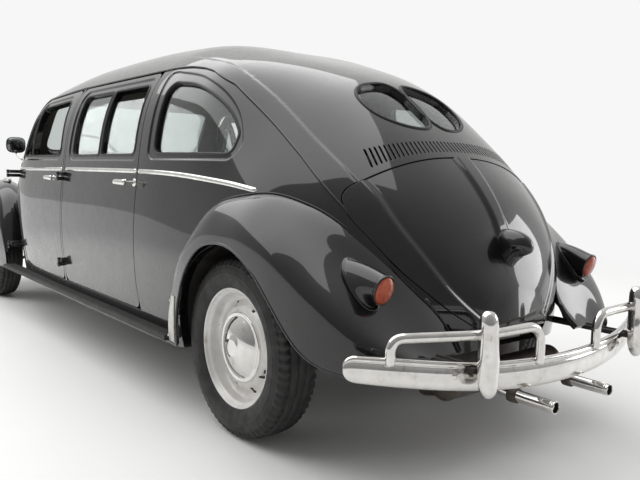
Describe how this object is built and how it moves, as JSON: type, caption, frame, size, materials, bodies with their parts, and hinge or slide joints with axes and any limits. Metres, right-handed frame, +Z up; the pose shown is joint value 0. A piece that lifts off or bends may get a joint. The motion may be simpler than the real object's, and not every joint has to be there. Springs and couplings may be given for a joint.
{
  "type": "long wheelbase compact car",
  "caption": "Rounded rear-engined saloon with a stretched body, hinged doors and lids, steered front wheels and free-rolling wheels",
  "frame": {"origin": "on the ground under the middle of the car's length and width", "axes": "+X the car's left, +Y its rear, +Z up; the car faces -Y"},
  "size_m": [1.568, 4.999, 1.5007],
  "materials": {
    "body_paint": "deep gloss black",
    "window_glass": "clear, faintly grey",
    "step_rubber": "ribbed, dull",
    "wheel_silver": "silver lacquer",
    "tyre_rubber": "matt black",
    "chassis_black": "semi-matt black",
    "engine_metal": "cast",
    "exhaust_chrome": "polished, dulled",
    "seat_cloth": "woven cloth",
    "dash_paint": "gloss",
    "wheel_plastic": "gloss black",
    "bumper_chrome": "polished with patina",
    "lamp_lens": "orange red",
    "lamp_glass": "clear"
  },
  "bodies": {
    "body": {"cowl_panel": "body_paint", "dashboard": "dash_paint", "engine": "engine_metal", "exhaust": "exhaust_chrome", "floor_pan": "body_paint", "front_axle": "chassis_black", "front_bumper": "bumper_chrome", "front_left_fender": "body_paint", "front_right_fender": "body_paint", "front_seats": "seat_cloth", "front_tray": "body_paint", "headlamps": "lamp_glass", "left_body_side": "body_paint", "quarter_windows": "window_glass", "rear_apron": "body_paint", "rear_axle": "chassis_black", "rear_bench": "seat_cloth", "rear_bumper": "bumper_chrome", "rear_left_fender": "body_paint", "rear_panel": "body_paint", "rear_right_fender": "body_paint", "rear_window_panes": "window_glass", "right_body_side": "body_paint", "roof_panel": "body_paint", "running_boards": "step_rubber", "tail_lamps": "lamp_lens", "windscreen": "window_glass"},
    "front_left_door": {"front_left_door": "body_paint", "front_left_door_glass": "window_glass"},
    "front_right_door": {"front_right_door": "body_paint", "front_right_door_glass": "window_glass"},
    "rear_left_door": {"rear_left_door": "body_paint", "rear_left_door_glass": "window_glass"},
    "rear_right_door": {"rear_right_door": "body_paint", "rear_right_door_glass": "window_glass"},
    "engine_lid": {"engine_lid": "body_paint", "licence_lamp": "body_paint"},
    "luggage_lid": {"luggage_lid": "body_paint"},
    "left_knuckle": {"left_knuckle": "chassis_black"},
    "right_knuckle": {"right_knuckle": "chassis_black"},
    "front_left_wheel": {"front_left_rim": "wheel_silver", "front_left_tyre": "tyre_rubber"},
    "front_right_wheel": {"front_right_rim": "wheel_silver", "front_right_tyre": "tyre_rubber"},
    "rear_left_wheel": {"rear_left_rim": "wheel_silver", "rear_left_tyre": "tyre_rubber"},
    "rear_right_wheel": {"rear_right_rim": "wheel_silver", "rear_right_tyre": "tyre_rubber"},
    "steering_wheel": {"steering_wheel": "wheel_plastic"}
  },
  "joints": [
    {"name": "front_left_door_hinge", "type": "hinge", "parent": "body", "child": "front_left_door", "pos_m": [0.758, -1.0255, 0.65], "axis": [0, 0, -1], "range_deg": [0, 65]},
    {"name": "rear_left_door_hinge", "type": "hinge", "parent": "body", "child": "rear_left_door", "pos_m": [0.758, -0.0655, 0.65], "axis": [0, 0, -1], "range_deg": [0, 65]},
    {"name": "front_right_door_hinge", "type": "hinge", "parent": "body", "child": "front_right_door", "pos_m": [-0.758, -1.0255, 0.65], "axis": [0, 0, 1], "range_deg": [0, 65]},
    {"name": "rear_right_door_hinge", "type": "hinge", "parent": "body", "child": "rear_right_door", "pos_m": [-0.758, -0.0655, 0.65], "axis": [0, 0, 1], "range_deg": [0, 65]},
    {"name": "engine_lid_hinge", "type": "hinge", "parent": "body", "child": "engine_lid", "pos_m": [0, 1.9755, 0.9903], "axis": [1, 0, 0], "range_deg": [0, 60]},
    {"name": "luggage_lid_hinge", "type": "hinge", "parent": "body", "child": "luggage_lid", "pos_m": [0, -1.1752, 0.9705], "axis": [-1, 0, 0], "range_deg": [0, 55]},
    {"name": "left_steer", "type": "hinge", "parent": "body", "child": "left_knuckle", "pos_m": [0.585, -1.7125, 0.316], "axis": [0, 0, 1], "range_deg": [-28, 28]},
    {"name": "right_steer", "type": "hinge", "parent": "body", "child": "right_knuckle", "pos_m": [-0.585, -1.7125, 0.316], "axis": [0, 0, 1], "range_deg": [-28, 28]},
    {"name": "steering_wheel_turn", "type": "hinge", "parent": "body", "child": "steering_wheel", "pos_m": [0.34, -0.7125, 0.945], "axis": [0, 0.9099, 0.4148], "range_deg": [-410, 410]},
    {"name": "front_left_wheel_spin", "type": "hinge", "parent": "left_knuckle", "child": "front_left_wheel", "pos_m": [0.643, -1.7125, 0.316], "axis": [1, 0, 0], "continuous": true},
    {"name": "rear_left_wheel_spin", "type": "hinge", "parent": "body", "child": "rear_left_wheel", "pos_m": [0.633, 1.5875, 0.316], "axis": [1, 0, 0], "continuous": true},
    {"name": "front_right_wheel_spin", "type": "hinge", "parent": "right_knuckle", "child": "front_right_wheel", "pos_m": [-0.643, -1.7125, 0.316], "axis": [1, 0, 0], "continuous": true},
    {"name": "rear_right_wheel_spin", "type": "hinge", "parent": "body", "child": "rear_right_wheel", "pos_m": [-0.633, 1.5875, 0.316], "axis": [1, 0, 0], "continuous": true}
  ],
  "couplings": [
    {"joint": "right_steer", "follows": "left_steer", "ratio": 1},
    {"joint": "steering_wheel_turn", "follows": "left_steer", "ratio": 14.4}
  ]
}
